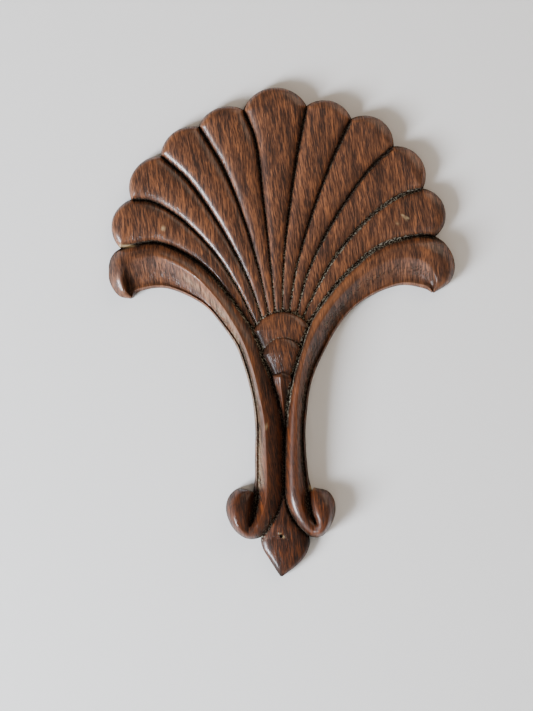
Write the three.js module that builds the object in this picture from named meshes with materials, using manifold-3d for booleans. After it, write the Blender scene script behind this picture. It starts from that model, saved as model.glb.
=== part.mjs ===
// Carved hardwood applique in the shape of a shell. Nine lobes fan out between two scrolling
// bands, which run down side by side as a stem and end in two volutes with a leaf between them.
// It is one piece of wood, carved on its front and flat on its back.
// Millimetres, +Z up along its length, the front towards -Y and the back in the plane y = 0,
// with the origin on the back at mid height.

import * as THREE from "three";
import { mergeVertices } from "three/addons/utils/BufferGeometryUtils.js";
import Module from "manifold-3d";

// Sizes of the piece
const HEIGHT = 150; // from the tip of the middle lobe to the tip of the leaf
const EDGE = 2.4; // thickness of the square edge that runs round the whole outline
const GROOVE_LIFT = 0.5; // how far the grooves lie in front of that edge
const CENTRE_SWELL = 2.2; // how much thicker the wood is under the root of the fan
const LOBE_RISE = 3.3; // a wide lobe's crest over the grooves beside it
const BAND_RISE = 3.7; // a band's arris over the groove beside it
const COVE_LIFT = 0.7; // bottom of a band's hollow over the edge
const LIP_RISE = 0.4; // the lip over the bottom of the hollow
const LIP_WIDTH = 1.1; // the lip on the stem
const SCROLL_LIP_WIDTH = 2.2; // the lip where a band ends in its scroll
const BOSS_RISE = 4.6; // a volute's boss over the edge
const SCALE_STEP = 1.1; // how far each scale stands out over the one behind it
const SCALE_RISE = 1.7; // a scale's crest over its sides
const LEAF_RISE = 2; // the leaf's crest over the edge
const PIN_HOLE = 1.1; // diameter of the hole for a fixing pin

// The carving is drawn for a piece this high and grows with HEIGHT.
const DRAWN_HEIGHT = 150;
const SWELL_CENTRE = [0, -5]; // where the swelling under the fan's root is highest
const SWELL_REACH = 35; // how far it spreads
const WIDE_LOBE = 6; // half width at which a lobe reaches most of its rise
const FULLNESS = 2.6; // power of the arch across a lobe: 2 is a parabola, more is fuller
const BOSS_FULLNESS = 4; // the same of a volute's boss, on its side towards the stem
const COVE_POWER = 1.5; // how hollow a band's outer side is: 1 is straight
const NOTCH_FALL = 0.25; // share of a groove's length over which it runs out to the edge
const NOTCH_LAP = 0.15; // how far the round ends of neighbouring lobes cross
const MOST_LIP = 0.4; // the lip is never more than this share of a band's hollow
const BOSS_FOOT = 0.27; // where on a half wave the boss's rise starts at the volute's foot
const BOSS_END = 0.86; // and where on it the boss ends, beside the stem
const TUCK = 0.12; // how far a form runs on under its neighbour, as a share of half its width

// Grooves of the fan, from the root out to the notch in the outline, left to right
const GROOVES = [
  [[-7.4, -0.6], [-15, 9.8], [-22.7, 19], [-31.9, 25.2], [-38.7, 27.5], [-43.9, 26.8], [-49.2, 25.8]],
  [[-7.2, 0.9], [-13.1, 12.9], [-20.3, 24], [-31.3, 35], [-40.2, 40.1], [-45.8, 40.6]],
  [[-5.5, 3.1], [-10.1, 16], [-18.1, 31.3], [-28.9, 46.7], [-36.8, 53.9]],
  [[-3.4, 3.7], [-6.8, 19], [-11.4, 34.4], [-17.5, 49.7], [-25.2, 62.8]],
  [[-1.5, 3.7], [-3.4, 22.1], [-5.5, 40.5], [-8, 59], [-11.5, 68]],
  [[0.3, 3.7], [0.9, 22.1], [2.5, 37.5], [5.2, 55.9], [7.8, 69.2]],
  [[2.1, 3.7], [4.6, 19], [8.9, 34.4], [15.7, 52.8], [21.5, 65.3]],
  [[4.3, 3.7], [8.6, 19], [16.3, 34.4], [27, 49.7], [34.4, 56.8]],
  [[5.7, 2.2], [9.2, 9.8], [16, 22.1], [26.4, 34.4], [36.5, 41.8], [43.3, 43.9]],
  [[7.6, 0.2], [11.7, 6.8], [18.7, 16], [30.4, 26.1], [39.6, 29], [47, 29.2]],
];
// How far each lobe's round end reaches past its two notches, left to right
const LOBE_REACH = [4.4, 4.4, 3.5, 3.5, 6.4, 3.7, 4.7, 4.9, 5.3];

// Rows across each band, from the tip of its scroll down to its volute: a point on the inner
// edge, one on the arris and one on the outer edge
const LEFT_BAND = [
  [[-46.1, 10.2], [-45.8, 10.7], [-45.5, 10.5]],
  [[-49.7, 11.1], [-47.7, 12.9], [-44.7, 11.7]],
  [[-52.8, 16.3], [-48.5, 17.2], [-43.3, 12.5]],
  [[-51.7, 23.6], [-47.3, 20.4], [-41.5, 13]],
  [[-44.5, 26.8], [-43, 22.6], [-38.8, 13.5]],
  [[-37.2, 27.1], [-37.5, 23], [-35, 13.4]],
  [[-26.7, 22.1], [-28.9, 19], [-28.6, 11.1]],
  [[-18.7, 14.7], [-22.1, 12.9], [-22.7, 7.4]],
  [[-12, 5.8], [-16.3, 5.4], [-17.5, 1.2]],
  [[-7.4, -1.5], [-11.7, -2.8], [-13.7, -4.6]],
  [[-4, -10.4], [-8.6, -11.4], [-11.2, -11.4]],
  [[-1.5, -17.8], [-6.8, -18.7], [-9.1, -19.3]],
  [[0.3, -27], [-5.1, -27.6], [-8, -28.2]],
  [[1.1, -37.8], [-4.5, -38.4], [-8, -38.7]],
  [[1, -46.1], [-4.3, -45.4], [-8, -44.8]],
  [[0, -52.8], [-4.7, -52.2], [-8.3, -50.4]],
  [[-2.1, -58], [-5.9, -56], [-8.7, -54.7]],
  [[-5.5, -62.2], [-7.8, -59.4], [-9.1, -57.7]],
  [[-9.5, -63.6], [-10.1, -61.1], [-9.5, -58.6]],
  [[-13.2, -61.9], [-12.3, -59.7], [-9.2, -57.8]],
  [[-15.7, -58.6], [-13.5, -57.1], [-8.9, -56.3]],
  [[-16.9, -54.4], [-13.4, -54.2], [-8.6, -54.3]],
  [[-16.1, -50.7], [-12.6, -51.6], [-8.3, -52]],
  [[-13.5, -48.2], [-11.4, -49.9], [-8.2, -50.4]],
  [[-10.7, -48.3], [-9.7, -48.8], [-8.1, -49.3]],
];
const RIGHT_BAND = [
  [[46.9, 12], [46.7, 12.6], [46.4, 12.1]],
  [[51.9, 15.4], [47.6, 15.7], [44.8, 13.1]],
  [[53.4, 20.3], [46.5, 19], [42.4, 13.8]],
  [[51, 26.4], [43.9, 21.6], [39.9, 14.3]],
  [[45.8, 29.1], [39.6, 22.7], [37.2, 14.4]],
  [[39, 29], [34.1, 22.4], [33.2, 13.5]],
  [[30.4, 26.1], [27.3, 19.3], [27, 10.7]],
  [[21.5, 19], [20.3, 13.8], [21.8, 6.8]],
  [[13.5, 9.8], [14.1, 6.4], [17.2, 1.2]],
  [[8.6, 2.1], [10.1, -0.3], [13.5, -5.5]],
  [[5.8, -6.1], [7.4, -7.4], [10.7, -11.4]],
  [[3.7, -13.5], [5.8, -15], [8.9, -17.5]],
  [[2.1, -22.4], [4.9, -23], [8, -24.6]],
  [[1.4, -32.2], [4.9, -32.5], [7.5, -32.2]],
  [[1.1, -44.8], [5.2, -44.5], [8.5, -44.5]],
  [[1.5, -51.3], [5.8, -50.4], [9.1, -49]],
  [[3.2, -56.2], [6.8, -54.8], [9.2, -53.4]],
  [[6.1, -60.5], [8.2, -58], [10, -56.3]],
  [[9.2, -62.8], [10, -60.4], [10.7, -57.9]],
  [[12.6, -62.6], [12.3, -60.3], [10.6, -58.1]],
  [[15.2, -59.6], [13.8, -57.7], [9.9, -57.1]],
  [[16.6, -55.6], [13.5, -54.8], [9, -55]],
  [[16.4, -51.7], [12.9, -52.2], [8.5, -52.5]],
  [[14.4, -48.9], [11.7, -50.2], [8.5, -50.7]],
  [[10.1, -47.8], [9.7, -48.5], [8.7, -49]],
];
const SCROLL_ROWS = 3; // up to this row, round the scroll's end, the inner edge is outline
const STEM_ROWS = 14; // up to this row the outer edge is outline, and then it bounds the volute
const CURL_ROW = 18; // the lowest row, from which a band turns up into its volute's boss
const LIP_ROWS = 7; // the row at which the lip has narrowed to its width on the stem

// Two overlapping scales and a tongue at the fan's root: their sides from bottom to top, how
// far the round end reaches past them, and at the bottom and at the round end how far the
// scale lies over the ground and how far its crest rises over that
const UPPER_SCALE = {
  sides: [
    [[-3.8, -12], [-5.8, -5.5], [-8.2, 0.3]],
    [[4.3, -12.3], [6.4, -5.5], [8.4, 1.5]],
  ],
  reach: 5.1,
  steps: [0.7, 1],
  crest: [0.3, 1],
};
const LOWER_SCALE = {
  sides: [
    [[-2.7, -13.5], [-4, -10.4], [-5.3, -6.9]],
    [[3.1, -14.2], [4.8, -10.4], [5.8, -5.4]],
  ],
  reach: 4.5,
  steps: [1.2, 1.7],
  crest: [0.4, 1],
};
const TONGUE = {
  sides: [
    [[0.9, -28.9], [-0.5, -21.5], [-2.4, -13.5]],
    [[1.5, -28.9], [2.5, -21.5], [3.2, -14.7]],
  ],
  reach: 2,
  steps: [0, 1.8],
  crest: [0.1, 1],
};

// Sides of the leaf, from its stalk between the bands down to its point
const LEAF_LEFT = [
  [0.3, -49.8], [-0.9, -54.8], [-3.6, -59.4], [-6.1, -63.2], [-5.6, -66.3], [-3.5, -69.9], [-0.2, -75],
];
const LEAF_RIGHT = [
  [1.3, -49.8], [2.5, -55.1], [5.1, -58.8], [8.8, -63.4], [8.1, -67.4], [5.7, -70.8], [0.5, -75],
];
const LEAF_WIDEST = 3; // the row of those sides from which they lie on the outline
const PIN_PLACE = [0, -62.5];

// Fineness of the faces
const ROWS = 11; // along a lobe
const FADE_ROWS = 2; // the last of them, over which what runs on under its neighbours narrows
const END_ROWS = 6; // round a lobe's end
const LAST_STEP = 0.4; // share of a step that is left between the last of these and the tip
const STEPS_PER_ROW = 2; // between two rows of a band or a leaf
const ARCH_STEPS = 5; // across half an arch
const ROLL_STEPS = 5; // across a band's roll
const COVE_STEPS = 4; // across a band's hollow
const PIN_SIDES = 16; // round the pin hole

const wasm = await Module();
wasm.setup();

const scale = HEIGHT / DRAWN_HEIGHT;
const plan = ([x, z]) => new THREE.Vector3(x, 0, z).multiplyScalar(scale);
const curve = (points) => new THREE.CatmullRomCurve3(points.map(plan), false, "centripetal");
const { clamp, lerp, smoothstep } = THREE.MathUtils;

// A point of the plan, lifted towards the viewer.
function lifted(point, lift) {
  return new THREE.Vector3(point.x, -lift, point.z);
}

// Height of the ground that the grooves are cut down to.
function ground(point) {
  const away = point.distanceTo(plan(SWELL_CENTRE)) / (SWELL_REACH * scale);
  return EDGE + GROOVE_LIFT + CENTRE_SWELL * Math.exp(-(away ** 2));
}

// Whether rows that run from left to right follow each other upwards, so that what they bound
// lies to the left as one goes round it.
function runsUpwards(rows) {
  const round = [...rows.map((row) => row.at(-1)), ...rows.map((row) => row[0]).toReversed()];
  return THREE.ShapeUtils.area(round.map((point) => ({ x: point.x, y: point.z }))) > 0;
}

// Closes rows of points, which run across a form from left to right and follow each other
// upwards, into a solid that goes back to the flat back.
function solidFrom(someRows) {
  const rows = runsUpwards(someRows) ? someRows : someRows.toReversed();
  const across = rows[0].length;
  const last = across - 1;
  const ends = rows.flatMap((row) => [row[0], row[last]]).map((point) => lifted(point, 0));
  const top = (i, j) => i * across + j;
  const back = (i, side) => rows.length * across + 2 * i + side;
  const faces = [];
  for (let i = 0; i + 1 < rows.length; i += 1) {
    for (let j = 0; j < last; j += 1) {
      faces.push([top(i, j), top(i, j + 1), top(i + 1, j + 1)]);
      faces.push([top(i, j), top(i + 1, j + 1), top(i + 1, j)]);
    }
    faces.push([back(i, 0), back(i + 1, 1), back(i, 1)], [back(i, 0), back(i + 1, 0), back(i + 1, 1)]);
    faces.push([top(i, 0), top(i + 1, 0), back(i, 0)], [top(i + 1, 0), back(i + 1, 0), back(i, 0)]);
    faces.push([top(i, last), back(i, 1), top(i + 1, last)]);
    faces.push([top(i + 1, last), back(i, 1), back(i + 1, 1)]);
  }
  const end = rows.length - 1;
  for (let j = 0; j < last; j += 1) {
    faces.push([back(0, 0), top(0, j + 1), top(0, j)]);
    faces.push([back(end, 0), top(end, j), top(end, j + 1)]);
  }
  faces.push([back(0, 0), back(0, 1), top(0, last)], [back(end, 0), top(end, last), back(end, 1)]);
  const geometry = new THREE.BufferGeometry().setFromPoints([...rows.flat(), ...ends]);
  geometry.setIndex(faces.flat());
  return solidOf(geometry);
}

// Turns a closed geometry into a solid that can be joined and cut.
function solidOf(geometry) {
  geometry.deleteAttribute("normal");
  geometry.deleteAttribute("uv");
  const merged = mergeVertices(geometry);
  return new wasm.Manifold(
    new wasm.Mesh({
      numProp: 3,
      vertProperties: merged.getAttribute("position").array,
      triVerts: new Uint32Array(merged.index.array),
    }),
  );
}

// A row over an arch between two points of the plan, with its sides at the given heights.
function archRow(left, right, leftBase, rightBase, rise, tuck) {
  const row = [];
  for (let j = -ARCH_STEPS; j <= ARCH_STEPS; j += 1) {
    const t = (1 + tuck) * Math.sin((Math.PI / 2) * (j / ARCH_STEPS));
    const base = lerp(leftBase, rightBase, (t + 1) / 2);
    const lift = base + rise * (1 - Math.abs(t) ** FULLNESS);
    row.push(lifted(left.clone().lerp(right, (t + 1) / 2), lift));
  }
  return row;
}

// Rows of a form with a round end: from its root along its two sides, and on round an arc from
// the end of one side to the end of the other. sideLift gives the sides' height over the back
// at a point and a share of the way along, riseAt the crest's height over the sides for that
// share and for half the width, and freeLift the height of the round end's edge at a point.
function roundEnded([left, right], reach, sideLift, riseAt, freeLift) {
  const rows = [];
  for (let i = 0; i < ROWS; i += 1) {
    const along = i / ROWS;
    const a = left.getPointAt(along);
    const b = right.getPointAt(along);
    const tuck = TUCK * Math.min(1, (ROWS - i) / FADE_ROWS);
    const rise = riseAt(along, a.distanceTo(b) / 2);
    rows.push(archRow(a, b, sideLift(a, along), sideLift(b, along), rise, tuck));
  }
  const a = left.getPoint(1);
  const b = right.getPoint(1);
  const half = a.distanceTo(b) / 2 + NOTCH_LAP;
  const rise = riseAt(1, half);
  const middle = a.clone().lerp(b, 0.5);
  const sideways = b.clone().sub(a).normalize();
  const outwards = new THREE.Vector3(-sideways.z, 0, sideways.x);
  const radius = (half ** 2 + reach ** 2) / (2 * reach);
  const opening = Math.acos((radius - reach) / radius);
  for (let k = 0; k < END_ROWS; k += 1) {
    const angle = opening * (1 - k / (END_ROWS - 1 + LAST_STEP));
    const out = radius * Math.cos(angle) - (radius - reach);
    const chord = middle.clone().addScaledVector(outwards, out);
    const c = chord.clone().addScaledVector(sideways, -radius * Math.sin(angle));
    const d = chord.clone().addScaledVector(sideways, radius * Math.sin(angle));
    const dome = rise * Math.sqrt(1 - (out / reach) ** 2);
    rows.push(archRow(c, d, freeLift(c), freeLift(d), dome, 0));
  }
  return rows;
}

// A lobe of the fan: narrow and low at the root, wide and full towards its end.
function lobe(leftGroove, rightGroove, reach) {
  const side = (point, along) => lerp(ground(point), EDGE, smoothstep(along, 1 - NOTCH_FALL, 1));
  const rise = (along, half) => LOBE_RISE * Math.tanh(half / (WIDE_LOBE * scale));
  return solidFrom(roundEnded([leftGroove, rightGroove], reach * scale, side, rise, () => EDGE));
}

// A scale or the tongue. Its round free edge stands over the form behind it, and its sides come
// up to that from the grooves beside it.
function layered({ sides, reach, steps, crest }) {
  const step = (along) => SCALE_STEP * lerp(steps[0], steps[1], along);
  const up = (along) => smoothstep(along, 0, 1);
  const side = (point, along) => ground(point) + step(along) * up(along);
  const rise = (along) => SCALE_RISE * lerp(crest[0], crest[1], along) + step(along) * (1 - up(along));
  return solidFrom(roundEnded(sides.map(curve), reach * scale, side, rise, (point) => side(point, 1)));
}

// A row across a band: a roll from the inner edge up to the arris, a hollow that falls away
// from there, and a lip at the outer edge. innerBare and outerBare say how far the two edges
// lie on the outline, swell how much of its rise the roll has, and curled how far the row
// belongs to the volute's boss, which is round where the rest of the band is hollow.
function bandRow([inner, arris, outer], { innerBare, outerBare, swell, curled, lipWidth }) {
  const hollow = EDGE + COVE_LIFT;
  const foot = lerp(ground(inner), EDGE, innerBare);
  const crown = lerp(ground(arris) + BAND_RISE * swell, EDGE + BOSS_RISE * swell, curled);
  const row = [];
  for (let j = 0; j <= ROLL_STEPS; j += 1) {
    const u = lerp(-TUCK * (1 - innerBare), 1, 1 - Math.cos((Math.PI / 2) * (j / ROLL_STEPS)));
    const lift = foot + (crown - foot) * (1 - (1 - u) ** FULLNESS);
    row.push(lifted(inner.clone().lerp(arris, u), lift));
  }
  const lip = Math.min(MOST_LIP, (lipWidth * scale) / arris.distanceTo(outer));
  for (let j = 1; j <= COVE_STEPS; j += 1) {
    const w = j / COVE_STEPS;
    const fall = lerp((1 - w) ** COVE_POWER, 1 - (w * (1 - lip)) ** BOSS_FULLNESS, curled);
    row.push(lifted(arris.clone().lerp(outer, w * (1 - lip)), lerp(hollow, crown, fall)));
  }
  const rim = curled * (1 - (1 - lip / 2) ** BOSS_FULLNESS);
  const crest = lerp(hollow, crown, rim) + LIP_RISE * outerBare;
  row.push(lifted(arris.clone().lerp(outer, 1 - lip / 2), crest));
  const tuck = TUCK * (1 - outerBare);
  row.push(lifted(arris.clone().lerp(outer, 1 + tuck), lerp(hollow - COVE_LIFT, EDGE, outerBare)));
  return row;
}

// A band from its scroll down to its volute, in two solids that meet at the volute's foot,
// because the boss comes back up beside the stem.
function band(points) {
  const lines = [0, 1, 2].map((k) => curve(points.map((row) => row[k])));
  const count = points.length - 1;
  const rows = [];
  for (let i = 0; i <= count * STEPS_PER_ROW; i += 1) {
    const at = i / STEPS_PER_ROW;
    const curled = clamp((at - STEM_ROWS - 1) / (CURL_ROW - STEM_ROWS - 1), 0, 1);
    const turned = clamp((at - CURL_ROW) / (count - CURL_ROW), 0, 1);
    const boss = Math.sin(Math.PI * lerp(BOSS_FOOT, BOSS_END, turned));
    const shares = {
      innerBare: clamp(SCROLL_ROWS + 1 - at, 0, 1) + clamp(at - CURL_ROW + 1, 0, 1),
      outerBare: clamp(STEM_ROWS + 1 - at, 0, 1),
      swell: lerp(Math.min(1, Math.sqrt(at / SCROLL_ROWS)), boss, curled),
      curled,
      lipWidth: lerp(SCROLL_LIP_WIDTH, LIP_WIDTH, Math.min(1, at / LIP_ROWS)),
    };
    rows.push(bandRow(lines.map((line) => line.getPoint(at / count)), shares));
  }
  const turn = CURL_ROW * STEPS_PER_ROW;
  return solidFrom(rows.slice(0, turn + 1)).add(solidFrom(rows.slice(turn)));
}

// The leaf that hangs between the volutes.
function leaf() {
  const left = curve(LEAF_LEFT);
  const right = curve(LEAF_RIGHT);
  const count = LEAF_LEFT.length - 1;
  const rows = [];
  for (let i = 0; i <= count * STEPS_PER_ROW; i += 1) {
    const at = i / STEPS_PER_ROW;
    const a = left.getPoint(at / count);
    const b = right.getPoint(at / count);
    const bare = clamp(at - LEAF_WIDEST + 1, 0, 1);
    const rise = LEAF_RISE * Math.tanh(a.distanceTo(b) / (WIDE_LOBE * scale));
    const sides = [a, b].map((point) => lerp(ground(point), EDGE, bare));
    rows.push(archRow(a, b, sides[0], sides[1], rise, TUCK * (1 - bare)));
  }
  return solidFrom(rows.toReversed());
}

// The pin hole, straight through from front to back: the pin that makes it reaches twice as far
// each way as the leaf is thick.
function pinHole() {
  const length = 4 * (EDGE + LEAF_RISE);
  const pin = new THREE.CylinderGeometry(PIN_HOLE / 2, PIN_HOLE / 2, length, PIN_SIDES);
  const place = plan(PIN_PLACE);
  return solidOf(pin.translate(place.x, 0, place.z));
}

const grooves = GROOVES.map(curve);
const forms = [
  ...LOBE_REACH.map((reach, i) => lobe(grooves[i], grooves[i + 1], reach)),
  layered(UPPER_SCALE),
  layered(LOWER_SCALE),
  layered(TONGUE),
  band(LEFT_BAND),
  band(RIGHT_BAND),
  leaf(),
];
const carved = forms.reduce((whole, form) => whole.add(form)).subtract(pinHole());

const mesh = carved.getMesh();
const geometry = new THREE.BufferGeometry();
geometry.setAttribute("position", new THREE.BufferAttribute(mesh.vertProperties, 3));
geometry.setIndex(new THREE.BufferAttribute(mesh.triVerts, 1));
geometry.computeVertexNormals();

const stainedWood = new THREE.MeshStandardMaterial({ color: 0x4a2a1b, roughness: 0.45, metalness: 0 });
const applique = new THREE.Mesh(geometry, stainedWood);
applique.name = "carved_applique";

const part = new THREE.Group();
part.add(applique);
export default part;
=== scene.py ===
import math

import bpy
import numpy as np
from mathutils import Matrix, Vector, noise


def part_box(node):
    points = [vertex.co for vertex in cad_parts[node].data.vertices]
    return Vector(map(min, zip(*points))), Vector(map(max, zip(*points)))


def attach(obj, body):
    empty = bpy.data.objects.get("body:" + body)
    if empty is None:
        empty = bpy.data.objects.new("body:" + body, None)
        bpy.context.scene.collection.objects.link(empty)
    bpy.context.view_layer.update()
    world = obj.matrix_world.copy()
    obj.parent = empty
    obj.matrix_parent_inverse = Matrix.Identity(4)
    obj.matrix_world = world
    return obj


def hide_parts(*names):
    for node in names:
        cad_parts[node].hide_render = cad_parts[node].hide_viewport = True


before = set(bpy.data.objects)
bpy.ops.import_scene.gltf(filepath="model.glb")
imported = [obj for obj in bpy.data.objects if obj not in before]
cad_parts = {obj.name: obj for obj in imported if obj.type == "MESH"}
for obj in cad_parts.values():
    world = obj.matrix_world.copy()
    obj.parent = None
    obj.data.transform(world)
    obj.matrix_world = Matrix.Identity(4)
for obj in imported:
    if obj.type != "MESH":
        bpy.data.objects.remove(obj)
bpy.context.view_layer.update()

# THE FAN. Nine lobes of one board of close-grained hardwood, cut between grooves that a carver
# sank with a veining tool from the rim down to the root, and rounded over with a gouge. Each
# lobe is laid out in millimetres as the gouge leaves it, a touch flat along its crest.

NODE = "carved_applique"
DRAWN_HEIGHT = 150
low_corner, high_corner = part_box(NODE)
MM = (high_corner.z - low_corner.z) / DRAWN_HEIGHT

EDGE = 2.4
GROOVE_LIFT = 0.45
CENTRE_SWELL = 2.2
SWELL_CENTRE = (0, -5)  # the board is thickest here, at the root of the fan
SWELL_REACH = 35
LOBE_RISE = 3.3
WIDE_LOBE = 6
CROWN = 0.34  # share of a lobe's rise that is an even curve from side to side
FLANK = 1.4  # the rest is a flat top with rounded flanks, about this wide
NOTCH_FALL = 0.25  # share of a groove's length over which it runs out to the edge
NOTCH_LAP = 0.15  # of a lobe's round end over its neighbours
TUCK = 0.12  # share of its half width by which a form runs on under its neighbours
TUCK_END = 0.125  # share of a form's length over which that runs out
ACROSS = 37  # points in each row over a form
ROWS = 90
END_ROWS = 24
TIP_GAP = 0.4  # how far the last row stops before the tip, in steps, so that it has a width
MEASURING = 40  # points that a curve's length is measured by, for each of its own

# Grooves from the root out to the notch in the rim, left to right
GROOVES = [
    [(-7.4, -0.6), (-15, 9.8), (-22.7, 19), (-31.9, 25.2), (-38.7, 27.5), (-43.9, 26.8), (-49.2, 25.8)],
    [(-7.2, 0.9), (-13.1, 12.9), (-20.3, 24), (-31.3, 35), (-40.2, 40.1), (-45.8, 40.6)],
    [(-5.5, 3.1), (-10.1, 16), (-18.1, 31.3), (-28.9, 46.7), (-36.8, 53.9)],
    [(-3.4, 3.7), (-6.8, 19), (-11.4, 34.4), (-17.5, 49.7), (-25.2, 62.8)],
    [(-1.5, 3.7), (-3.4, 22.1), (-5.5, 40.5), (-8, 59), (-11.5, 68)],
    [(0.3, 3.7), (0.9, 22.1), (2.5, 37.5), (5.2, 55.9), (7.8, 69.2)],
    [(2.1, 3.7), (4.6, 19), (8.9, 34.4), (15.7, 52.8), (21.5, 65.3)],
    [(4.3, 3.7), (8.6, 19), (16.3, 34.4), (27, 49.7), (34.4, 56.8)],
    [(5.7, 2.2), (9.2, 9.8), (16, 22.1), (26.4, 34.4), (36.5, 41.8), (43.3, 43.9)],
    [(7.6, 0.2), (11.7, 6.8), (18.7, 16), (30.4, 26.1), (39.6, 29), (47, 29.2)],
]
LOBE_REACH = [4.4, 4.4, 3.5, 3.5, 6.4, 3.7, 4.7, 4.9, 5.3]  # past the notches on its two sides


def along(points, at):
    """Points of a smooth curve through the given ones, at numbers counted from one to the next."""
    p = np.array(points, float)
    p = np.vstack([2 * p[0] - p[1], p, 2 * p[-1] - p[-2]])
    at = np.asarray(at, float)
    start = np.clip(at.astype(int), 0, len(points) - 2)
    u = (at - start)[:, None]
    a, b, c, d = (p[start + k] for k in range(4))
    step = [np.sqrt(np.linalg.norm(n - m, axis=1))[:, None] for m, n in ((a, b), (b, c), (c, d))]
    leave = step[1] * ((b - a) / step[0] - (c - a) / (step[0] + step[1]) + (c - b) / step[1])
    reach = step[1] * ((c - b) / step[1] - (d - b) / (step[1] + step[2]) + (d - c) / step[2])
    return (
        b
        + leave * u
        + (3 * (c - b) - 2 * leave - reach) * u**2
        + (2 * (b - c) + leave + reach) * u**3
    )


def evenly(points, shares):
    """Points of the same curve at shares of its length."""
    at = np.linspace(0, len(points) - 1, MEASURING * len(points))
    line = along(points, at)
    length = np.append(0, np.cumsum(np.linalg.norm(np.diff(line, axis=0), axis=1)))
    return along(points, np.interp(np.asarray(shares) * length[-1], length, at))


def ground(plan):
    """Height of the wood that the grooves are sunk to, over the back."""
    away = np.linalg.norm(plan - np.array(SWELL_CENTRE), axis=-1) / SWELL_REACH
    return EDGE + GROOVE_LIFT + CENTRE_SWELL * np.exp(-(away**2))


def arch(left, right, left_lift, right_lift, rise, tuck, profile):
    """A row of points over an arch, which runs on a little past both its sides."""
    t = (1 + tuck) * np.sin(np.linspace(-math.pi / 2, math.pi / 2, ACROSS))
    share = (t + 1) / 2
    plan = left + (right - left) * share[:, None]
    half = np.linalg.norm(right - left) / 2
    lift = left_lift + (right_lift - left_lift) * share + rise * profile(t, half)
    return np.column_stack([plan[:, 0], -lift, plan[:, 1]])


def cushion(t, half):
    """Height across a form with a gently crowned top and flanks of the same width all along."""
    return CROWN * (1 - t**2) + (1 - CROWN) * (1 - np.abs(t) ** (2 + half / FLANK))


def round_ended(left, right, reach, side_lift, rise_at, free_lift, profile):
    """Rows of a form from its root along two sides and on round an arc between their ends."""
    shares = np.linspace(0, 1, ROWS)[:-1]
    lefts, rights = evenly(left, shares), evenly(right, shares)
    rows = []
    for share, a, b in zip(shares, lefts, rights):
        half = np.linalg.norm(b - a) / 2
        tuck = TUCK * min(1, (1 - share) / TUCK_END)
        lifts = side_lift(a, share), side_lift(b, share)
        rows.append(arch(a, b, *lifts, rise_at(share, half), tuck, profile))
    a, b = np.array(left[-1], float), np.array(right[-1], float)
    half = np.linalg.norm(b - a) / 2 + NOTCH_LAP
    rise = rise_at(1, half)
    sideways = (b - a) / np.linalg.norm(b - a)
    outwards = np.array([-sideways[1], sideways[0]])
    radius = (half**2 + reach**2) / (2 * reach)
    opening = math.acos((radius - reach) / radius)
    for k in range(END_ROWS):
        angle = opening * (1 - k / (END_ROWS - 1 + TIP_GAP))
        out = radius * math.cos(angle) - (radius - reach)
        chord = (a + b) / 2 + outwards * out
        aside = sideways * radius * math.sin(angle)
        c, d = chord - aside, chord + aside
        dome = rise * math.sqrt(1 - (out / reach) ** 2)
        rows.append(arch(c, d, free_lift(c), free_lift(d), dome, 0, profile))
    return np.array(rows)


def carve(name, rows):
    """A solid with those rows as its front. A grid is laid over them and extruded, and the new
    faces are pressed flat on to the back plane."""
    bpy.ops.object.select_all(action="DESELECT")
    bpy.ops.mesh.primitive_grid_add(x_subdivisions=rows.shape[1] - 1, y_subdivisions=len(rows) - 1)
    form = bpy.context.object
    form.name = name
    form.data.vertices.foreach_set("co", (rows * MM).ravel())
    form.data.update()
    bpy.ops.object.mode_set(mode="EDIT")
    bpy.ops.mesh.select_all(action="SELECT")
    bpy.ops.mesh.extrude_region_move()
    bpy.ops.transform.resize(value=(1, 0, 1), center_override=(0, 0, 0))
    bpy.ops.mesh.select_all(action="SELECT")
    bpy.ops.mesh.normals_make_consistent(inside=False)
    bpy.ops.object.mode_set(mode="OBJECT")
    return form


def lerp(a, b, share):
    return a + (b - a) * share


def clamp(value):
    return min(max(value, 0), 1)


def smooth(value):
    """An even run from 0 to 1, with no corner at either end."""
    share = clamp(value)
    return share * share * (3 - 2 * share)


def lobe_side(plan, share):
    return lerp(ground(plan), EDGE, smooth((share - 1 + NOTCH_FALL) / NOTCH_FALL))


def lobe_rise(share, half):
    return LOBE_RISE * math.tanh(half / WIDE_LOBE)


forms = []
for number, reach in enumerate(LOBE_REACH):
    sides = GROOVES[number], GROOVES[number + 1]
    rows = round_ended(*sides, reach, lobe_side, lobe_rise, lambda plan: EDGE, cushion)
    forms.append(carve(f"lobe_{number + 1}", rows))

# THE SCALES AND THE TONGUE. Two overlapping scales cover the root of the fan, and a ridged tongue
# hangs from under them into the groove between the bands. They are cut from the same wood, each
# with its round end left proud of the form behind it.

SCALE_STEP = 1.1
SCALE_RISE = 1.7
TONGUE_RISE = 1.9
RIDGE = -0.3  # place of the tongue's ridge, between its left side at -1 and its right at 1
UPPER_SCALE = {
    "sides": ([(-3.8, -12), (-5.8, -5.5), (-8.2, 0.3)], [(4.3, -12.3), (6.4, -5.5), (8.4, 1.5)]),
    "reach": 5.1,
    "steps": (0.7, 1),
    "crest": (0.3, 1),
}
LOWER_SCALE = {
    "sides": ([(-2.7, -13.5), (-4, -10.4), (-5.3, -6.9)], [(3.1, -14.2), (4.8, -10.4), (5.8, -5.4)]),
    "reach": 4.5,
    "steps": (1.2, 1.7),
    "crest": (0.4, 1),
}
TONGUE = {
    "sides": ([(0.9, -28.9), (-0.5, -21.5), (-2.4, -13.5)], [(1.5, -28.9), (2.5, -21.5), (3.2, -14.7)]),
    "reach": 2,
    "steps": (0, 1.5),
    "crest": (0.1, 1),
}


def ridged(t, half):
    """Height across the tongue: two flat facets that meet in a ridge left of its middle."""
    return 1 - np.abs(t - RIDGE) / np.where(t < RIDGE, 1 + RIDGE, 1 - RIDGE)


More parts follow.
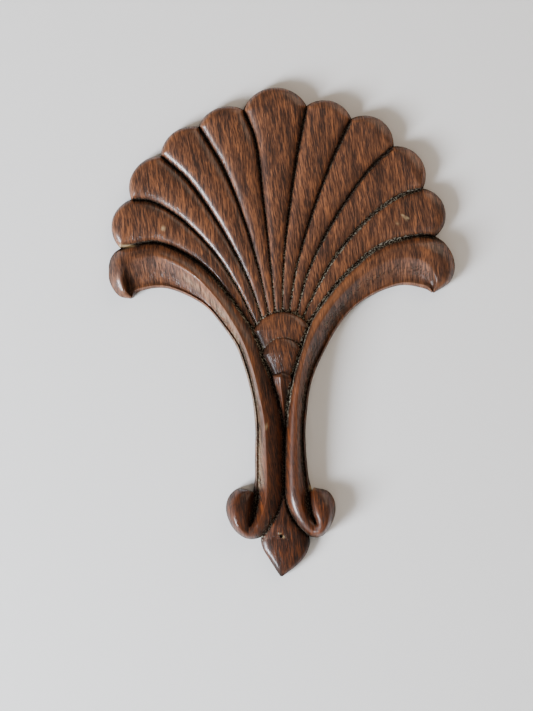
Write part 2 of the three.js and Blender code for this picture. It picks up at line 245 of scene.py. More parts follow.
def layered(name, sides, reach, steps, crest, rise=SCALE_RISE, profile=cushion):
    """A scale: its sides lie down in the grooves beside it and come up only to its round end."""

    def side_lift(plan, share):
        return ground(plan) + SCALE_STEP * lerp(*steps, share) * smooth(share)

    def rise_at(share, half):
        dip = SCALE_STEP * lerp(*steps, share) * (1 - smooth(share))
        return rise * lerp(*crest, share) + dip

    def free_lift(plan):
        return side_lift(plan, 1)

    return carve(name, round_ended(*sides, reach, side_lift, rise_at, free_lift, profile))


forms.append(layered("upper_scale", **UPPER_SCALE))
forms.append(layered("lower_scale", **LOWER_SCALE))
forms.append(layered("tongue", **TONGUE, rise=TONGUE_RISE, profile=ridged))

# THE BANDS. From a scroll at each side of the fan a band runs down the stem and turns outwards
# into a volute. On its inner side it is a roll up to a sharp arris, and on its outer side a
# hollow with a thin lip, which fills up to a round boss where the band curls over.

BAND_RISE = 3.75
COVE_LIFT = 0.7
LIP_RISE = 0.4
LIP_WIDTH = 1.1
SCROLL_LIP_WIDTH = 2.2
BOSS_RISE = 4.6
MOST_LIP = 0.4  # largest share of a band's outer side that its lip takes
ROLL_FULLNESS = {"left_band": 1.9, "right_band": 3.6}
COVE_POWERS = (2.1, 1.0)  # how hollow a band's outer side is, at the scroll and on the stem
ARRIS_EASES = (0.22, 0.03)  # share of that side over which the arris is worn round, likewise
BOSS_FULLNESS = 4.2
BOSS_ROLL = 2.4
BOSS_FOOT = 0.27  # the boss swells as a sine does from here, in half turns
BOSS_END = 0.86
ROLL_POINTS = 18
COVE_POINTS = 14

# Places along a band, counted in the rows given below
SCROLL_ROWS = 3
LIP_ROWS = 7
STEM_ROWS = 14
CURL_ROW = 18

# Rows across each band, from the tip of its scroll down to its volute: a point on the inner
# edge, one on the arris and one on the outer edge
LEFT_BAND = [
    [(-46.1, 10.2), (-45.8, 10.7), (-45.5, 10.5)],
    [(-49.7, 11.1), (-47.7, 12.9), (-44.7, 11.7)],
    [(-52.8, 16.3), (-48.5, 17.2), (-43.3, 12.5)],
    [(-51.7, 23.6), (-47.3, 20.4), (-41.5, 13)],
    [(-44.5, 26.8), (-43, 22.6), (-38.8, 13.5)],
    [(-37.2, 27.1), (-37.5, 23), (-35, 13.4)],
    [(-26.7, 22.1), (-28.9, 19), (-28.6, 11.1)],
    [(-18.7, 14.7), (-22.1, 12.9), (-22.7, 7.4)],
    [(-12, 5.8), (-16.3, 5.4), (-17.5, 1.2)],
    [(-7.4, -1.5), (-11.7, -2.8), (-13.7, -4.6)],
    [(-4, -10.4), (-8.6, -11.4), (-11.2, -11.4)],
    [(-1.5, -17.8), (-6.8, -18.7), (-9.1, -19.3)],
    [(0.3, -27), (-5.1, -27.6), (-8, -28.2)],
    [(1.1, -37.8), (-4.5, -38.4), (-8, -38.7)],
    [(1, -46.1), (-4.3, -45.4), (-8, -44.8)],
    [(0, -52.8), (-4.7, -52.2), (-8.3, -50.4)],
    [(-2.1, -58), (-5.9, -56), (-8.7, -54.7)],
    [(-5.5, -62.2), (-7.8, -59.4), (-9.1, -57.7)],
    [(-9.5, -63.6), (-10.1, -61.1), (-9.5, -58.6)],
    [(-13.2, -61.9), (-12.3, -59.7), (-9.2, -57.8)],
    [(-15.7, -58.6), (-13.5, -57.1), (-8.9, -56.3)],
    [(-16.9, -54.4), (-13.4, -54.2), (-8.6, -54.3)],
    [(-16.1, -50.7), (-12.6, -51.6), (-8.3, -52)],
    [(-13.5, -48.2), (-11.4, -49.9), (-8.2, -50.4)],
    [(-10.7, -48.3), (-9.7, -48.8), (-8.1, -49.3)],
]
RIGHT_BAND = [
    [(46.9, 12), (46.7, 12.6), (46.4, 12.1)],
    [(51.9, 15.4), (47.6, 15.7), (44.8, 13.1)],
    [(53.4, 20.3), (46.5, 19), (42.4, 13.8)],
    [(51, 26.4), (43.9, 21.6), (39.9, 14.3)],
    [(45.8, 29.1), (39.6, 22.7), (37.2, 14.4)],
    [(39, 29), (34.1, 22.4), (33.2, 13.5)],
    [(30.4, 26.1), (27.3, 19.3), (27, 10.7)],
    [(21.5, 19), (20.3, 13.8), (21.8, 6.8)],
    [(13.5, 9.8), (14.1, 6.4), (17.2, 1.2)],
    [(8.6, 2.1), (10.1, -0.3), (13.5, -5.5)],
    [(5.8, -6.1), (7.4, -7.4), (10.7, -11.4)],
    [(3.7, -13.5), (5.8, -15), (8.9, -17.5)],
    [(2.1, -22.4), (4.9, -23), (8, -24.6)],
    [(1.4, -32.2), (4.9, -32.5), (7.5, -32.2)],
    [(1.1, -44.8), (5.2, -44.5), (8.5, -44.5)],
    [(1.5, -51.3), (5.8, -50.4), (9.1, -49)],
    [(3.2, -56.2), (6.8, -54.8), (9.2, -53.4)],
    [(6.1, -60.5), (8.2, -58), (10, -56.3)],
    [(9.2, -62.8), (10, -60.4), (10.7, -57.9)],
    [(12.6, -62.6), (12.3, -60.3), (10.6, -58.1)],
    [(15.2, -59.6), (13.8, -57.7), (9.9, -57.1)],
    [(16.6, -55.6), (13.5, -54.8), (9, -55)],
    [(16.4, -51.7), (12.9, -52.2), (8.5, -52.5)],
    [(14.4, -48.9), (11.7, -50.2), (8.5, -50.7)],
    [(10.1, -47.8), (9.7, -48.5), (8.7, -49)],
]
BAND_STEPS = 8  # rows laid out from one of those to the next


def band_row(
    inner, arris, outer, inner_bare, outer_bare, swell, curled, lip_width, fullness, cove_power, ease
):
    """A row across a band. inner_bare and outer_bare say how far its edges lie on the outline,
    swell how much of its rise the roll has, and curled how far it belongs to the boss."""
    hollow = EDGE + COVE_LIFT
    foot = lerp(ground(inner), EDGE, inner_bare)
    crown = lerp(ground(arris) + BAND_RISE * swell, EDGE + BOSS_RISE * swell, curled)
    lip = min(MOST_LIP, lip_width / np.linalg.norm(outer - arris))

    u = lerp(-TUCK * (1 - inner_bare), 1, 1 - np.cos(np.linspace(0, math.pi / 2, ROLL_POINTS)))
    rounding = 1 - (1 - u) ** lerp(fullness, BOSS_ROLL, curled)
    roll = np.column_stack([lerp(inner, arris, u[:, None]), lerp(foot, crown, rounding)])
    w = np.linspace(0, 1, COVE_POINTS)[1:]
    eased = w**2 * (1 + ease) / (w + ease)
    fall = lerp((1 - eased) ** cove_power, 1 - (w * (1 - lip)) ** BOSS_FULLNESS, curled)
    cove = np.column_stack([lerp(arris, outer, (w * (1 - lip))[:, None]), lerp(hollow, crown, fall)])
    crest = lerp(hollow, crown, curled * (1 - (1 - lip / 2) ** BOSS_FULLNESS)) + LIP_RISE * outer_bare
    rim = [*lerp(arris, outer, 1 - lip / 2), crest]
    free = [*lerp(arris, outer, 1 + TUCK * (1 - outer_bare)), lerp(hollow - COVE_LIFT, EDGE, outer_bare)]
    x, z, lift = np.vstack([roll, cove, rim, free]).T
    return np.column_stack([x, -lift, z])


def band(name, points):
    lines = np.array(points, float).transpose(1, 0, 2)
    count = len(points) - 1
    places = np.arange(count * BAND_STEPS + 1) / BAND_STEPS
    edges = [along(line, places) for line in lines]
    rows = []
    for at, inner, arris, outer in zip(places, *edges):
        curled = clamp((at - STEM_ROWS - 1) / (CURL_ROW - STEM_ROWS - 1))
        wound = clamp((at - CURL_ROW) / (count - CURL_ROW))
        boss = math.sin(math.pi * lerp(BOSS_FOOT, BOSS_END, wound))
        down = clamp((at - SCROLL_ROWS) / LIP_ROWS)
        rows.append(
            band_row(
                inner,
                arris,
                outer,
                inner_bare=clamp(SCROLL_ROWS + 1 - at) + clamp(at - CURL_ROW + 1),
                outer_bare=clamp(STEM_ROWS + 1 - at),
                swell=lerp(min(1, math.sqrt(at / SCROLL_ROWS)), boss, curled),
                curled=curled,
                lip_width=lerp(SCROLL_LIP_WIDTH, LIP_WIDTH, min(1, at / LIP_ROWS)),
                fullness=ROLL_FULLNESS[name],
                cove_power=lerp(*COVE_POWERS, down),
                ease=lerp(*ARRIS_EASES, down),
            )
        )
    rows = np.array(rows)
    turn = CURL_ROW * BAND_STEPS
    return [carve(name, rows[: turn + 1]), carve(name + "_boss", rows[turn:])]


forms += band("left_band", LEFT_BAND)
forms += band("right_band", RIGHT_BAND)

# THE LEAF. A pointed leaf hangs between the volutes from a stalk in the groove of the stem, and
# is gently domed, with its edges rounded over.

LEAF_RISE = 2.0
LEAF_LEFT = [
    (0.3, -49.8), (-0.9, -54.8), (-3.6, -59.4), (-6.1, -63.2), (-5.6, -66.3), (-3.5, -69.9), (-0.2, -75),
]
LEAF_RIGHT = [
    (1.3, -49.8), (2.5, -55.1), (5.1, -58.8), (8.8, -63.4), (8.1, -67.4), (5.7, -70.8), (0.5, -75),
]
LEAF_WIDEST = 3  # number of its widest point, counted from 0, where it is clear of the volutes
LEAF_ROWS = 70


def leaf():
    places = np.linspace(0, len(LEAF_LEFT) - 1, LEAF_ROWS)
    rows = []
    for at, a, b in zip(places, along(LEAF_LEFT, places), along(LEAF_RIGHT, places)):
        bare = clamp(at - LEAF_WIDEST + 1)
        lifts = (lerp(ground(point), EDGE, bare) for point in (a, b))
        rise = LEAF_RISE * math.tanh(np.linalg.norm(b - a) / WIDE_LOBE)
        rows.append(arch(a, b, *lifts, rise, TUCK * (1 - bare), cushion))
    return carve("leaf", np.array(rows))


forms.append(leaf())

# THE CARVING AS ONE PIECE. All the forms are cut from the one board, so they are joined here
# into one body, with its back left flat from the saw. The piece was glued on, and a pin that
# helped to hold it went through the leaf.

PIN_HOLE = 1.1
PIN_PLACE = (0, -62.5)
PIN_LENGTH = 30  # well past the front and the back
PIN_SIDES = 24
BACKWARDS = 0.999  # least turn to the back of a face that lies on it
CUTS = [(5, 0.07), (1.6, 0.02)]  # how far apart the gouge's unevenness is, and how high
INSIDE = 0.9995  # share of the solids' box that the unevenness stays within
CREASE = 38  # an edge that turns by more degrees than this stays sharp


def finish_with(piece, kind, **settings):
    """Adds a modifier to a piece and applies it."""
    modifier = piece.modifiers.new(kind.lower(), kind)
    for name, value in settings.items():
        setattr(modifier, name, value)
    bpy.ops.object.select_all(action="DESELECT")
    piece.select_set(True)
    bpy.context.view_layer.objects.active = piece
    bpy.ops.object.modifier_apply(modifier=modifier.name)


applique = forms[0]
for form in forms[1:]:
    finish_with(applique, "BOOLEAN", operation="UNION", solver="MANIFOLD", object=form)
    bpy.data.objects.remove(form)
applique.name = "applique"

bpy.ops.object.select_all(action="DESELECT")
bpy.ops.mesh.primitive_cylinder_add(
    vertices=PIN_SIDES,
    radius=PIN_HOLE / 2 * MM,
    depth=PIN_LENGTH * MM,
    location=(PIN_PLACE[0] * MM, 0, PIN_PLACE[1] * MM),
    rotation=(math.pi / 2, 0, 0),
)
pin = bpy.context.object
finish_with(applique, "BOOLEAN", operation="DIFFERENCE", solver="MANIFOLD", object=pin)
bpy.data.objects.remove(pin)

# The flat back needs none of the grid that the extruding left on it, so it is filled anew.
bpy.ops.object.mode_set(mode="EDIT")
bpy.ops.mesh.select_mode(type="FACE")
bpy.ops.mesh.select_all(action="DESELECT")
bpy.ops.object.mode_set(mode="OBJECT")
for polygon in applique.data.polygons:
    polygon.select = polygon.normal.y > BACKWARDS
bpy.ops.object.mode_set(mode="EDIT")
bpy.ops.mesh.delete(type="FACE")
bpy.ops.mesh.select_mode(type="EDGE")
bpy.ops.mesh.select_non_manifold()
bpy.ops.mesh.fill()
bpy.ops.mesh.select_all(action="SELECT")
bpy.ops.mesh.normals_make_consistent(inside=False)
bpy.ops.object.mode_set(mode="OBJECT")

# No surface left by a gouge is quite even, so each vertex moves a little along its normal.
mesh = applique.data
places, normals = (np.empty(len(mesh.vertices) * 3) for _ in range(2))
mesh.vertices.foreach_get("co", places)
mesh.vertices.foreach_get("normal", normals)
places, normals = places.reshape(-1, 3), normals.reshape(-1, 3)
uneven = [
    sum(noise.noise(Vector(point / (spacing * MM))) * size for spacing, size in CUTS)
    for point in places
]
above = places[:, 1] < -EDGE / 2 * MM
places += normals * (np.array(uneven) * above * MM)[:, None]
places = np.clip(places, np.array(low_corner) * INSIDE, np.array(high_corner) * INSIDE)
mesh.vertices.foreach_set("co", places.ravel())
mesh.update()
bpy.ops.object.shade_smooth_by_angle(angle=math.radians(CREASE))

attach(applique, "root")
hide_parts(NODE)

# THE STAIN, THE WAX, THE DUST AND THE PAINTED SHADE. Where the carving is hollow it is painted
# dark, for the shade that falls in it and for the stain and old wax that lie thick there, and dust
# has settled in it; where it is proud the stain and wax have worn thin. The heights that tell the
# two apart are measured with rays from the front.

CELL = 0.35  # of the grid on which the carving's height is compared with what lies round it
PAD = 8  # of that grid round the piece
RAYS_FROM = -1  # in metres
NEAR = 1.0
WIDE = 2.2
FRONT_FROM = 0.9  # share of the edge's height from which a point counts as the front
LEAST_SHELTER = 0.3  # share of the wax, dust and painted shade that stays beside the outline
RIGHT_RUN = 15  # the right side comes in over this distance from the middle line

# From what difference in height each of these shows, and over how much more it comes in full
SHELTER = (0.5, 0.16)  # of the share of wood round a point, instead
VALLEY = (0.4, 1.2)
PROUD = (0.2, 0.3)

# The same for the grooves, on the left and on the right, where the dirt and the painted shade lie wider
# in them
HOLLOW_FROM = (0.12, 0.07)
HOLLOW_RUN = (0.22, 0.16)
VALLEY_SHADE = (0.6, 0.8)  # how dark the painted shade in a wide hollow is, likewise

# How dark the sides of the piece, off its front, are drawn
SIDE_DARKNESS = 0.5
LEAST_DUST = 0.16

# The lists below hold strokes, each as from, to, reach and, if it isn't full, strength.

# A painted sheen of the old polish, over a pale film of dust, lightens the outer side of the left band.
PAINTED_SHEEN_AND_DUST = [
    ((-30, 17), (-22.7, 11.2), 0.9),
    ((-22.7, 11.2), (-15.2, 2.6), 1.0),
    ((-15.2, 2.6), (-9, -19), 1.1),
    ((-9, -19), (-6.7, -30), 1.0),
    ((-6.7, -30), (-6.4, -47), 1.0),
]

# The coves beside the outline are left without the painted shade, stain and wax of the hollows.
UNSHADED_COVES = [
    ((46, 14), (33, 15.5), 3.2),
    ((33, 15.5), (22, 9), 3),
    ((22, 9), (13, -5), 2.2),
    ((13, -5), (9.5, -18), 1.4),
    ((-46, 15), (-35, 16), 3),
    ((-35, 16), (-25, 11), 2.5),
    ((-25, 11), (-16, 1.5), 2),
]

# Dust lies thickest round the root of the fan, in the grooves on its right, down the left side
# of the stem, round the scales and where the leaf meets the left volute.
GROOVE_DUST = [
    ((-9, 4), (9, 4), 5, 1.0),
    ((8, 9), (37, 38), 7, 0.85),
    ((10, 4), (36, 28.5), 2.5, 0.7),
    ((-20, 8), (-9, 1), 4, 0.4),
    ((-15, 16), (-4, 5), 6, 0.6),
    ((0, 5), (2, 22), 6, 0.4),
    ((-8, 2), (-5, -14), 1.6, 0.9),
    ((8, 0), (3, -24), 2.2, 0.8),
]
OPEN_DUST = [
    ((-19, 6), (-8.6, -18), 1.3, 0.45),
    ((-8.6, -18), (-6.6, -46), 1.1, 0.55),
    ((-5.8, -63.3), (-5.9, -63.3), 1.2, 0.6),
    ((-1.8, -56), (-5, -61.5), 0.8, 0.4),
]

# Painted shade lies in the eyes of the scrolls, beside the scales and the bosses, and in the
# veins and round the point of the leaf.
PAINTED_SHADE = [
    ((-48, 20.5), (-46.4, 12.2), 1.7, 0.85),
    ((46.6, 19), (46.5, 13.5), 1.5, 0.6),
    ((-6.6, -0.6), (-4.8, -6), 1.5, 0.85),
    ((-4.6, -7), (-2, -12.6), 1.4, 0.85),
    ((8, 0.5), (3.6, -15), 0.9, 0.8),
    ((-8.8, -50.4), (-9.2, -57.6), 1.2, 0.8),
    ((8.7, -50.6), (9.6, -56.8), 0.9, 0.7),
    ((-11, -49.6), (-9.6, -53), 1.2, 0.35),
    ((-0.7, -56.2), (-2.6, -64.5), 0.4, 0.6),
    ((1.2, -56.8), (1.9, -66.9), 0.35, 0.5),
    ((2.8, -57.5), (4.6, -65), 0.4, 0.55),
    ((5.8, -60.8), (7, -64.5), 1.3, 0.6),
    ((0, -71), (0.2, -74.5), 1.8, 0.45),
]

# Old knocks and scratches go through the stain.
MARKS = [
    ((-36.1, 31.4), (-35.9, 31.8), 0.4, 0.7),
    ((37.2, 35.6), (38.2, 34.3), 0.2, 0.55),
    ((38.1, 35.3), (38.7, 34.8), 0.2, 0.4),
    ((35.6, 33.4), (35.8, 32.9), 0.25, 0.5),
    ((-49.4, 26.4), (-45.5, 26.3), 0.3, 0.7),
    ((9.4, -47.8), (9.8, -47.4), 0.6, 0.6),
    ((0.6, -62.9), (0.7, -62.4), 0.2, 0.45),
    ((-0.5, -61.8), (-0.2, -61.7), 0.2, 0.5),
    ((-4.6, -28.7), (-4.6, -29.3), 0.3, 0.4),
]


def blurred(grid, reach):
    """The grid softened by a bell curve of that reach, in cells."""
    offsets = np.arange(-int(3 * reach), int(3 * reach) + 1)
    bell = np.exp(-(offsets**2) / (2 * reach**2))
    bell /= bell.sum()
    for axis in (0, 1):
        grid = np.apply_along_axis(np.convolve, axis, grid, bell, mode="same")
    return grid


x, y, z = (places / MM).T
on_front = y < -FRONT_FROM * EDGE
corner = x.min() - PAD, z.min() - PAD
column = ((x - corner[0]) / CELL).round().astype(int)
row = ((z - corner[1]) / CELL).round().astype(int)
heights = np.full((column.max() + int(PAD / CELL), row.max() + int(PAD / CELL)), EDGE)
inside = np.zeros(heights.shape)
for i, j in np.ndindex(heights.shape):
    start = Vector(((corner[0] + i * CELL) * MM, RAYS_FROM, (corner[1] + j * CELL) * MM))
    hit, point, _, _ = applique.ray_cast(start, Vector((0, 1, 0)))
    if hit:
        heights[i, j] = -point.y / MM
        inside[i, j] = 1


def level(reach):
    """Height of the carving round each vertex, evened out over a reach in millimetres."""
    return blurred(heights, reach / CELL)[column, row]


def ramped(value, start, run):
    """How far the value has gone from start over a run, from 0 to 1."""
    return np.clip((value - start) / run, 0, 1)


def stroke(start, end, reach, strength=1):
    """How strongly each vertex lies under a stroke from one point to another, in millimetres."""
    start, end = np.array(start, float), np.array(end, float)
    plan = np.column_stack([x, z]) - start
    span = end - start
    share = np.clip(plan @ span / (span @ span), 0, 1)
    away = np.linalg.norm(plan - share[:, None] * span, axis=1) / reach
    return strength * np.exp(-(away**2))


def strokes(lines):
    return np.max([stroke(*line) for line in lines], axis=0)


# Little wax gathers beside the outline, where hands and dusters reach it, and less shade is painted
# there.
within = blurred(inside, WIDE / CELL)[column, row]
sheltered = np.maximum(ramped(within, *SHELTER), LEAST_SHELTER)
rightwards = ramped(x, 0, RIGHT_RUN)
hollow_from, hollow_run = lerp(*HOLLOW_FROM, rightwards), lerp(*HOLLOW_RUN, rightwards)
hollow = sheltered * ramped(level(NEAR) + y, hollow_from, hollow_run) * (1 - strokes(UNSHADED_COVES))
valley = sheltered * ramped(level(WIDE) + y, *VALLEY) * lerp(*VALLEY_SHADE, rightwards)
dusty = hollow * np.clip(LEAST_DUST + sum(stroke(*line) for line in GROOVE_DUST), 0, 1)
# The hollows, the wide valleys and the strokes above are painted dark: shade, and in the hollows thick
# stain and old wax as well.
shade_and_stain = np.max([hollow, valley, strokes(PAINTED_SHADE)], axis=0)
painted = {
    "hollow": np.where(on_front, shade_and_stain, SIDE_DARKNESS),
    "proud": ramped(-y - level(NEAR), *PROUD) * on_front,
    "dusty": np.maximum(dusty, strokes(OPEN_DUST) * on_front),
    "sheen_and_dust_film": strokes(PAINTED_SHEEN_AND_DUST) * on_front,
    "marks": strokes(MARKS),
}
for name, values in painted.items():
    attribute = mesh.attributes.new(name, "FLOAT", "POINT")
    attribute.data.foreach_set("value", values.astype(np.float32))

# THE WOOD. Stained and waxed hardwood: dark reddish brown with short dark pores and lighter
# fibres up the grain, satin where the wax is rubbed, and dull in the hollows, which are painted
# nearly black with their shade and with the stain and old wax that lie thick in them.
# The back is plain wood, browned by age and matt, with the saw's marks across it.

# Spacing across the grain and along it, in millimetres, then seed, detail and roughness. The
# real pores are about 0.1 mm wide, and are drawn coarser so that they show.
FIGURE = (2.6, 15, 3, 2, 0.55)
STREAKS = (0.5, 5, 11, 3, 0.65)
FINE = (0.27, 2.8, 29, 2, 0.55)
PORES = (0.24, 2.8, 47, 1, 0.55)
DEEP = 14  # how far each is stretched into the depth, for its spacing across
FIGURE_SHARE = 0.24
STREAKS_SHARE = 0.42
FINE_SHARE = 0.34
WANDER, WANDER_SPACING = 2.4, 22  # of the grain to the sides, and from one bend to the next
LEAN = 0.12  # how far the grain leans to the left for its height
SPECK = 0.5  # of dust
SAW_MARK, SAW_MARK_LENGTH = 1.4, 60
RELIEF_DEPTH, RELIEF_STRENGTH = 0.035, 0.8
STREAK_RELIEF, PORE_RELIEF = 0.5, 0.6

STAIN = ((0.38, "#24150d"), (0.47, "#45291a"), (0.55, "#694129"), (0.65, "#935a34"))
PORE, PORE_STAIN = "#190e0a", 0.75
WORN, WORN_SHARE = "#85532f", 0.3
# The near-black of the painted shade with the thick stain and wax in the hollows, and how much of it is
# laid on
SHADE_AND_THICK_STAIN, SHADE_AND_THICK_STAIN_SHARE = "#0f0805", 0.93
# Darker stain with painted shade towards the bottom, and the heights where it starts and is full
LOWER_STAIN_AND_SHADE, LOWER_FROM, LOWER_TO = "#b99c70", 12, -25
# The pale of a painted sheen with dust, then dust, then bare wood
SHEEN_AND_DUST_COLOUR, DUST, BARE_WOOD = "#8f735b", "#8d8877", "#c4ab80"
SAWN_DARK, SAWN_LIGHT, SAWN_MARK = "#6a4b31", "#8b6845", "#dad2ca"

# Each of these is drawn from one value to the other of a noise or an attribute, and, where there
# are four, from the third value to the fourth of what it gives.
PORES_SHOW = (0.55, 0.63)
SPECKS_SHOW = (0.49, 0.62)
SHEEN_AND_DUST_SHOWS = (0.4, 0.6, 0.05, 0.5)
SAWN_TONES = (0.4, 0.62)
SAW_SHOWS = (0.48, 0.66)
DULLNESS = (0.35, 0.65, 0.42, 0.56)
GLOSS = (0, 1, 0.2, 0.06)
WAX = (0.38, 0.6, 0.28, 0.55)
PORE_ROUGHNESS, HOLLOW_ROUGHNESS, BACK_ROUGHNESS = 0.25, 0.3, 0.8
WAX_ROUGHNESS = 0.2
BACKWARDS_FROM = 0.9  # least turn to the back of a face that is plain wood


def linear(hex_colour):
    """An sRGB hex colour as linear light."""
    values = [int(hex_colour[k : k + 2], 16) / 255 for k in (1, 3, 5)]
    return [v / 12.92 if v <= 0.04045 else ((v + 0.055) / 1.055) ** 2.4 for v in values] + [1]


def add(tree, kind, inputs={}, **settings):
    """Adds a node with its settings; an input is a value, or a socket to link from."""
    node = tree.nodes.new(kind)
    for name, value in settings.items():
        setattr(node, name, value)
    for name, value in inputs.items():
        if isinstance(value, bpy.types.NodeSocket):
            tree.links.new(value, node.inputs[name])
        else:
            node.inputs[name].default_value = value
    return node


wood = bpy.data.materials.new("stained_and_waxed_hardwood")
wood.use_nodes = True
tree = wood.node_tree
place = add(tree, "ShaderNodeTexCoord").outputs["Object"]


def maths(operation, *values):
    return add(tree, "ShaderNodeMath", dict(enumerate(values)), operation=operation).outputs[0]


def vectors(operation, *values):
    node = add(tree, "ShaderNodeVectorMath", dict(enumerate(values)), operation=operation)
    return node.outputs[0]


def between(value, low, high, start=0, end=1):
    """A value's way from low to high, drawn as one from start to end and held there."""
    inputs = {"Value": value, "From Min": low, "From Max": high, "To Min": start, "To Max": end}
    return add(tree, "ShaderNodeMapRange", inputs, clamp=True).outputs[0]


def blend(kind, amount, first, second):
    """Two colours mixed by an amount."""
    inputs = {0: amount, 6: first, 7: second}
    return add(tree, "ShaderNodeMix", inputs, data_type="RGBA", blend_type=kind).outputs[2]


def painted_on(name):
    return add(tree, "ShaderNodeAttribute", attribute_name=name).outputs["Fac"]


# The grain leans to the left, and wanders on its way up as it does in a sawn board.
wide = {"Vector": place, "Scale": 1 / (WANDER_SPACING * MM), "Detail": 1}
drift = add(tree, "ShaderNodeTexNoise", wide).outputs["Color"]
sway = vectors("MULTIPLY", vectors("SUBTRACT", drift, (0.5, 0.5, 0.5)), (WANDER * MM, WANDER * MM, 0))
up = add(tree, "ShaderNodeSeparateXYZ", {"Vector": place}).outputs["Z"]
lean = add(tree, "ShaderNodeCombineXYZ", {"X": maths("MULTIPLY", up, LEAN)}).outputs[0]
bent = vectors("ADD", vectors("ADD", place, sway), lean)


def fibres(across, along, seed, detail, roughness):
    """Noise drawn out along the grain."""
    scale = [1 / (across * MM), 1 / (DEEP * across * MM), 1 / (along * MM)]
    inputs = {"Vector": bent, "Scale": scale, "Location": (seed, seed, seed)}
    inputs = {"Vector": add(tree, "ShaderNodeMapping", inputs).outputs[0]}
    inputs |= {"Scale": 1, "Detail": detail, "Roughness": roughness}
    return add(tree, "ShaderNodeTexNoise", inputs).outputs["Fac"]


streaks = fibres(*STREAKS)
fine = fibres(*FINE)
pores = between(fibres(*PORES), *PORES_SHOW)
tone = maths("MULTIPLY", fibres(*FIGURE), FIGURE_SHARE)
for fibre, share in ((streaks, STREAKS_SHARE), (fine, FINE_SHARE)):
    tone = maths("ADD", tone, maths("MULTIPLY", fibre, share))
ramp = add(tree, "ShaderNodeValToRGB", {"Fac": tone})
stops = ramp.color_ramp.elements
stops.remove(stops[0])
stops[0].position = STAIN[0][0]
stops[0].color = linear(STAIN[0][1])
for position, stain in STAIN[1:]:
    stops.new(position).color = linear(stain)

colour = blend("MIX", maths("MULTIPLY", pores, PORE_STAIN), ramp.outputs["Color"], linear(PORE))
worn = maths("MULTIPLY", painted_on("proud"), WORN_SHARE)
colour = blend("MIX", worn, colour, linear(WORN))
# The stem, the volutes and the leaf took the stain darker than the fan, and are painted darker
# still towards the bottom, as shade where less light reaches.
lower = between(up, LOWER_FROM * MM, LOWER_TO * MM)
colour = blend("MULTIPLY", lower, colour, linear(LOWER_STAIN_AND_SHADE))
# Painted shade, with thick stain and old wax, darkens the hollows.
shade_and_thick_stain = maths("MULTIPLY", painted_on("hollow"), SHADE_AND_THICK_STAIN_SHARE)
colour = blend("MIX", shade_and_thick_stain, colour, linear(SHADE_AND_THICK_STAIN))
# A painted sheen with pale dust lightens the outer side of the left band.
sheen_and_dust = maths("MULTIPLY", painted_on("sheen_and_dust_film"), between(streaks, *SHEEN_AND_DUST_SHOWS))
colour = blend("MIX", sheen_and_dust, colour, linear(SHEEN_AND_DUST_COLOUR))
specks = add(tree, "ShaderNodeTexNoise", {"Vector": place, "Scale": 1 / (SPECK * MM), "Detail": 2})
dust = maths("MULTIPLY", between(specks.outputs["Fac"], *SPECKS_SHOW), painted_on("dusty"))
colour = blend("MIX", dust, colour, linear(DUST))
colour = blend("MIX", painted_on("marks"), colour, linear(BARE_WOOD))

facing = add(tree, "ShaderNodeNewGeometry").outputs["True Normal"]
backwards = add(tree, "ShaderNodeSeparateXYZ", {"Vector": facing}).outputs["Y"]
back = maths("GREATER_THAN", backwards, BACKWARDS_FROM)
saw_scale = (1 / (SAW_MARK_LENGTH * MM), 1, 1 / (SAW_MARK * MM))
sawn = add(tree, "ShaderNodeMapping", {"Vector": bent, "Scale": saw_scale}).outputs[0]
saw = add(tree, "ShaderNodeTexNoise", {"Vector": sawn, "Scale": 1, "Detail": 1}).outputs["Fac"]
plain = blend("MIX", between(tone, *SAWN_TONES), linear(SAWN_DARK), linear(SAWN_LIGHT))
plain = blend("MULTIPLY", between(saw, *SAW_SHOWS), plain, linear(SAWN_MARK))
colour = blend("MIX", back, colour, plain)

rough = maths("ADD", between(fine, *DULLNESS), maths("MULTIPLY", pores, PORE_ROUGHNESS))
rough = maths("ADD", rough, maths("MULTIPLY", painted_on("hollow"), HOLLOW_ROUGHNESS))
rough = maths("MAXIMUM", rough, maths("MULTIPLY", back, BACK_ROUGHNESS))
rubbed = maths("SUBTRACT", 1, maths("MAXIMUM", painted_on("hollow"), back))
raised, sunk = maths("MULTIPLY", streaks, STREAK_RELIEF), maths("MULTIPLY", pores, PORE_RELIEF)
relief = maths("ADD", maths("SUBTRACT", raised, sunk), maths("MULTIPLY", back, saw))
bumps = {"Height": relief, "Strength": RELIEF_STRENGTH, "Distance": RELIEF_DEPTH * MM}
bump = add(tree, "ShaderNodeBump", bumps).outputs[0]
shader = tree.nodes["Principled BSDF"]
tree.links.new(colour, shader.inputs["Base Color"])
tree.links.new(rough, shader.inputs["Roughness"])
tree.links.new(between(painted_on("hollow"), *GLOSS), shader.inputs["Specular IOR Level"])
tree.links.new(maths("MULTIPLY", rubbed, between(streaks, *WAX)), shader.inputs["Coat Weight"])
shader.inputs["Coat Roughness"].default_value = WAX_ROUGHNESS
tree.links.new(bump, shader.inputs["Normal"])
tree.links.new(bump, shader.inputs["Coat Normal"])

applique.data.materials.clear()
applique.data.materials.append(wood)

# THE WALL AND THE LIGHT. The piece lies against a wall of pale matt paint, with a floor of the
# same far below. A small window low on the left gives the sharp highlights and the shadows, and
# a large pale wall high on the right and the room fill them.

CAMERA_PLACE = (-4.452, -700, -7.216)
FRAME_HIGH = 218.3  # height of what the camera sees at the depth of the piece's outline
OUTLINE_DEPTH = 2
WALL_GAP = 0.3
WALL_SIZE = 3  # in metres, as are the next two
FLOOR_SIZE = 6
FLOOR_LEVEL = -0.9
PAINT, PAINT_ROUGHNESS = "#e2e3e2", 0.9
ROOM, ROOM_STRENGTH = "#ffeedd", 0.36

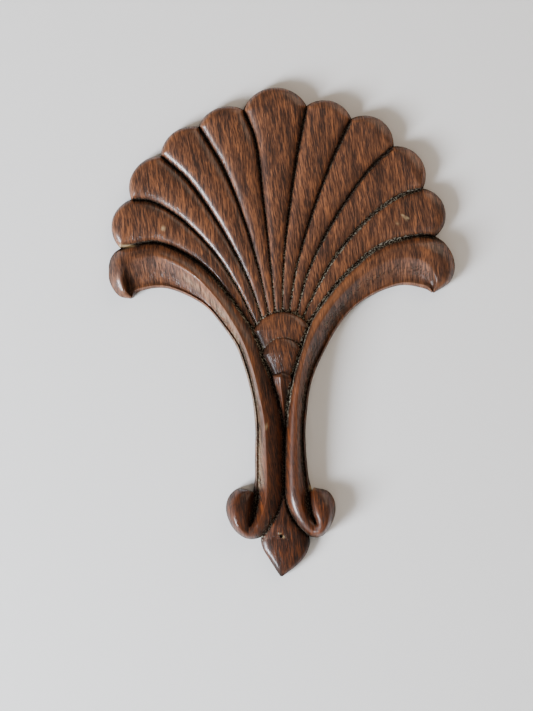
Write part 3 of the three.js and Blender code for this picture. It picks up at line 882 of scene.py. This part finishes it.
# Matt wall paint is even and pale, without any shine. It is seen from its front only, and is
# clear from behind, so that the piece's back can be looked at.
paint = bpy.data.materials.new("matt_wall_paint")
paint.use_nodes = True
paint_tree = paint.node_tree
painted_side = paint_tree.nodes["Principled BSDF"]
painted_side.inputs["Base Color"].default_value = linear(PAINT)
painted_side.inputs["Roughness"].default_value = PAINT_ROUGHNESS
behind = add(paint_tree, "ShaderNodeNewGeometry").outputs["Backfacing"]
clear = add(paint_tree, "ShaderNodeBsdfTransparent").outputs[0]
sides = {0: behind, 1: painted_side.outputs[0], 2: clear}
seen = add(paint_tree, "ShaderNodeMixShader", sides).outputs[0]
paint_tree.links.new(seen, paint_tree.nodes["Material Output"].inputs["Surface"])


def backdrop(name, size, location, rotation=(0, 0, 0)):
    bpy.ops.mesh.primitive_plane_add(size=size, location=location, rotation=rotation)
    sheet = bpy.context.object
    sheet.name = name
    sheet.data.materials.append(paint)


bpy.ops.object.select_all(action="DESELECT")
backdrop("wall", WALL_SIZE, (0, -WALL_GAP * MM, 0), (math.pi / 2, 0, 0))
backdrop("floor", FLOOR_SIZE, (0, 0, FLOOR_LEVEL))


def softbox(name, place, size, watts, colour):
    """A square studio lamp that points at the piece."""
    bpy.ops.object.light_add(type="AREA", location=place)
    lamp = bpy.context.object
    lamp.name = name
    lamp.data.size = size
    lamp.data.energy = watts
    lamp.data.color = linear(colour)[:3]
    lamp.rotation_euler = (-Vector(place)).to_track_quat("-Z", "Y").to_euler()


softbox("window", (-0.74, -0.4, -0.46), 0.34, 32, "#f1f6ff")
softbox("far_wall", (0.8, -0.6, 1.0), 1.2, 12, "#ffe9d2")

world = bpy.data.worlds.new("room")
world.use_nodes = True
bpy.context.scene.world = world
air = world.node_tree.nodes["Background"]
air.inputs["Color"].default_value = linear(ROOM)
air.inputs["Strength"].default_value = ROOM_STRENGTH

camera_place = [value * MM for value in CAMERA_PLACE]
bpy.ops.object.camera_add(location=camera_place, rotation=(math.pi / 2, 0, 0))
camera = bpy.context.object
camera.data.lens = camera.data.sensor_width * (-CAMERA_PLACE[1] - OUTLINE_DEPTH) / FRAME_HIGH
bpy.context.scene.camera = camera
